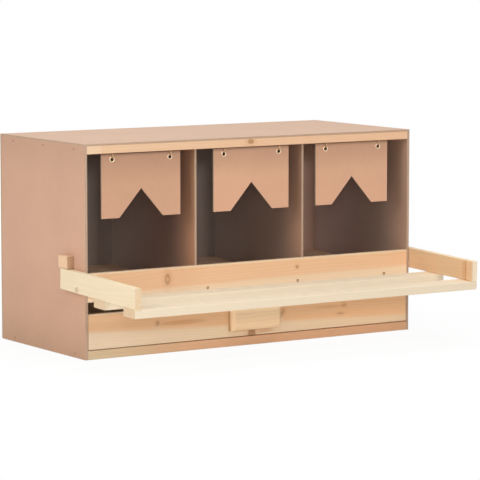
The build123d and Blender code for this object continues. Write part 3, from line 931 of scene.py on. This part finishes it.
class NESTBOX_OT_fasteners(bpy.types.Operator):
    """Makes the nails and screws whose heads show"""

    bl_idname = "nestbox.fasteners"
    bl_label = "Nails and Screws"

    def execute(self, context):
        look = context.scene.nest_hardware
        dark = metal("dark_screws", look.dark, 0.6, 0.5)
        browned = metal("browned_heads", look.browned, 0.1, 0.65)
        nail = Fastener(1.8 * MM, rise=0.4 * MM, shank=0.9 * MM, length=16 * MM, dome=0.7)
        self.side_nails(nail, browned)
        self.back_nails(nail._replace(rise=0.1 * MM), browned)
        self.lip_screws(browned)
        self.bar_screws(look, dark)
        self.handle_screws(look, dark)
        return {"FINISHED"}

    def side_nails(self, kind, browned):
        """Nails in each side panel, as the node's box gives them: three along the top, two along the foot."""
        low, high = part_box("side_panel_nails")
        top, foot = high.z - kind.head, low.z + kind.head
        front, middle, rear = np.linspace(low.y + kind.head, high.y - kind.head, 3)
        places = [(front, top), (middle, top), (rear, top), (front, foot), (rear, foot)]
        face = high.x - kind.rise
        both = np.concatenate([nails(kind, [(sign * face, y, z) for y, z in places], (sign, 0, 0))
                               for sign in (-1, 1)])
        add_piece("panel_nails", both, browned, "carcass", "dark_steel", "side_panel_nails")

    def back_nails(self, kind, browned):
        """Nails in two rows, through the back panel into the middles of its top and bottom rails."""
        end_gap, count = 20 * MM, 7
        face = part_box("back_panel")[1].y
        seats = []
        for rail in ("top_rear_rail", "bottom_rear_rail"):
            low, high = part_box(rail)
            row = np.linspace(low.x + end_gap, high.x - end_gap, count)
            seats += [(x, face, (low.z + high.z) / 2) for x in row]
        add_piece("back_nails", nails(kind, seats, (0, 1, 0)), browned, "carcass", "dark_steel")

    def lip_screws(self, browned):
        """Four screws along the lip, in the row that the node's box gives."""
        low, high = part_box("lip_screws")
        head, rise, count = (high.z - low.z) / 2, 0.3 * MM, 4
        kind = Fastener(head, rise, shank=1.5 * MM, length=22 * MM, dome=0.3, recess=0.35 * MM)
        row = np.linspace(low.x + head, high.x - head, count)
        seats = [(x, low.y + rise, (low.z + high.z) / 2) for x in row]
        points = screws(kind, seats, (0, -1, 0))
        add_piece("lip_board_screws", points, browned, "carcass", "dark_steel", "lip_screws")

    def bar_screws(self, look, dark):
        """Two screws at each end of each bar, square to its underside, which leans with the perch's droop.

        A bar's box is (width * cos + thickness * sin, width * sin + thickness * cos) of the droop, which
        gives its thickness.
        """
        kind = Fastener(3.5 * MM, rise=0.5 * MM, shank=1.75 * MM, length=40 * MM, dome=0.5, recess=0.8 * MM)
        droop = radians(JOINTS["perch_fold"]["range_deg"][1] - 90.0)
        forward = np.array((0.0, -cos(droop), -sin(droop)))
        down = np.array((0.0, sin(droop), -cos(droop)))
        low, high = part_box("bar_screws")
        seats = []
        for bar in ("perch_front_bar", "perch_rear_bar"):
            bar_low, bar_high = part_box(bar)
            middle = np.array((bar_low + bar_high) / 2)
            reach = np.array(bar_high - bar_low)[1:]
            thickness = np.linalg.solve([[cos(droop), sin(droop)], [sin(droop), cos(droop)]], reach)[1]
            for x in (low.x + kind.head, high.x - kind.head):
                for step in (-0.5, 0.5):
                    seat = middle + down * thickness / 2 + forward * step * look.bar_screw_pitch
                    seats.append((x, seat[1], seat[2]))
        points = screws(kind, seats, down)
        add_piece("perch_bar_screws", points, dark, "perch", "dark_steel", "bar_screws")

    def handle_screws(self, look, dark):
        """Two pan-headed screws behind the drawer front."""
        low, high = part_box("handle_screws")
        head, rise = (high.z - low.z) / 2, 1.6 * MM
        kind = Fastener(head, rise, shank=2 * MM, length=22 * MM, recess=look.recess_depth)
        height, half_pitch = (low.z + high.z) / 2, look.handle_screw_pitch / 2
        seats = [(x, high.y - rise, height) for x in (-half_pitch, half_pitch)]
        points = screws(kind, seats, (0, 1, 0))
        add_piece("drawer_handle_screws", points, dark, "drawer", "dark_steel", "handle_screws")


class NESTBOX_OT_stage(bpy.types.Operator):
    """Sets the floor, the soft lamps, the background and the camera"""

    bl_idname = "nestbox.stage"
    bl_label = "Stage"

    def execute(self, context):
        scene = context.scene
        look = scene.nest_stage
        scene.view_settings.view_transform = "Standard"
        self.world(scene, look)
        self.floor(scene, look)
        lamps = {"key": ((-0.4, -1.35, 2.5), (2.4, 1.6)), "side": ((-2.3, -0.7, 1.3), (1.5, 1.4)),
                 "top": ((0.3, 0.4, 2.7), (2.4, 1.6)), "fill": ((0.46, -4.5, 1.25), (0.4, 0.5)),
                 "camera": ((-2.6, -4.0, 0.85), (1.0, 1.0))}
        for name, (place, size) in lamps.items():
            self.lamp(scene, f"{name}_lamp", getattr(look, f"{name}_power"), place, size)
        self.camera(scene, look)
        return {"FINISHED"}

    def world(self, scene, look):
        """White where it is seen, and a low even light elsewhere."""
        world = bpy.data.worlds.new("plain_white")
        scene.world = world
        world.use_nodes = True
        world.node_tree.nodes.clear()
        sky = Nodes(world.node_tree)
        dim, white = [sky.node("ShaderNodeBackground", {}, {"Color": (*PLAIN, 1.0), "Strength": strength})
                      for strength in (look.ambient, 1.0)]
        both = sky.node("ShaderNodeMixShader", {}, {0: sky.seen(), 1: dim, 2: white})
        sky.node("ShaderNodeOutputWorld", {}, {0: both})

    def floor(self, scene, look):
        """A wide pale floor just under the box; the eye sees it white, with a soft share of the box's shadow.

        That share falls to nothing with the distance from the box, so that the floor meets the background.
        """
        half, drop = 8.0, -0.6 * MM
        fade_start, fade_end = 0.35, 0.75
        corners = [(-half, -half, drop), (half, -half, drop), (half, half, drop), (-half, half, drop)]
        mesh = bpy.data.meshes.new("floor")
        mesh.from_pydata(corners, [], [(0, 1, 2, 3)])
        pale = Finish("pale_floor")
        pale.shader.inputs["Base Color"].default_value = (*look.floor, 1.0)
        pale.shader.inputs["Roughness"].default_value = 0.9
        pale.shader.inputs["Specular IOR Level"].default_value = 0.0
        away = pale.node("ShaderNodeVectorMath", {"operation": "LENGTH"}, {0: pale.place}, "Value")
        clear = pale.step(away, fade_start, fade_end) * (1.0 - look.plain) + look.plain
        white = pale.node("ShaderNodeEmission", {}, {"Strength": 1.0})
        lit = Wire(pale, pale.shader.outputs[0])
        both = pale.node("ShaderNodeMixShader", {}, {0: pale.seen() * clear, 1: lit, 2: white})
        pale.fill(pale.tree.nodes["Material Output"].inputs[0], both)
        mesh.materials.append(pale.material)
        floor = bpy.data.objects.new("floor", mesh)
        scene.collection.objects.link(floor)

    def lamp(self, scene, name, power, place, size):
        """A soft rectangular lamp that points at the middle of the box."""
        box_middle = Vector((0.0, 0.1, 0.18))
        light = bpy.data.lights.new(name, "AREA")
        light.shape = "RECTANGLE"
        light.size, light.size_y = size
        light.energy = power
        lamp = bpy.data.objects.new(name, light)
        lamp.location = place
        lamp.rotation_euler = (box_middle - Vector(place)).to_track_quat("-Z", "Y").to_euler()
        lamp.visible_camera = False
        scene.collection.objects.link(lamp)

    def camera(self, scene, look):
        """A long lens from the left, turned and tilted down to the box."""
        lens = bpy.data.cameras.new("photo_camera")
        lens.lens = look.lens
        lens.sensor_width = 36.0
        lens.clip_end = 60.0
        camera = bpy.data.objects.new("photo_camera", lens)
        camera.location = look.camera
        camera.rotation_euler = (radians(90) - look.pitch, 0.0, -look.yaw)
        scene.collection.objects.link(camera)
        scene.camera = camera


class NESTBOX_PT_sidebar(bpy.types.Panel):
    """Lists the steps that dress the nest box"""

    bl_idname = "NESTBOX_PT_sidebar"
    bl_label = "Nest Box"
    bl_space_type = "VIEW_3D"
    bl_region_type = "UI"
    bl_category = "Nest Box"

    def draw(self, context):
        for step in STEPS:
            self.layout.operator(step.bl_idname)


STEPS = (NESTBOX_OT_panels, NESTBOX_OT_flaps, NESTBOX_OT_frame_boards, NESTBOX_OT_perch, NESTBOX_OT_drawer,
         NESTBOX_OT_eyelets, NESTBOX_OT_screw_eyes, NESTBOX_OT_pivots, NESTBOX_OT_fasteners, NESTBOX_OT_stage)
SETTINGS = {"nest_pine": NestBoxPine, "nest_hardboard": NestBoxHardboard, "nest_hardware": NestBoxHardware,
            "nest_stage": NestBoxStage}
CLASSES = (*SETTINGS.values(), *STEPS, NESTBOX_PT_sidebar)


def register():
    for each in CLASSES:
        bpy.utils.register_class(each)
    for name, group in SETTINGS.items():
        setattr(bpy.types.Scene, name, PointerProperty(type=group))


def unregister():
    for name in SETTINGS:
        delattr(bpy.types.Scene, name)
    for each in reversed(CLASSES):
        bpy.utils.unregister_class(each)


def main():
    register()
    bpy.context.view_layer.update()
    for step in STEPS:
        group, name = step.bl_idname.split(".")
        getattr(getattr(bpy.ops, group), name)()


if __name__ == "__main__":
    main()
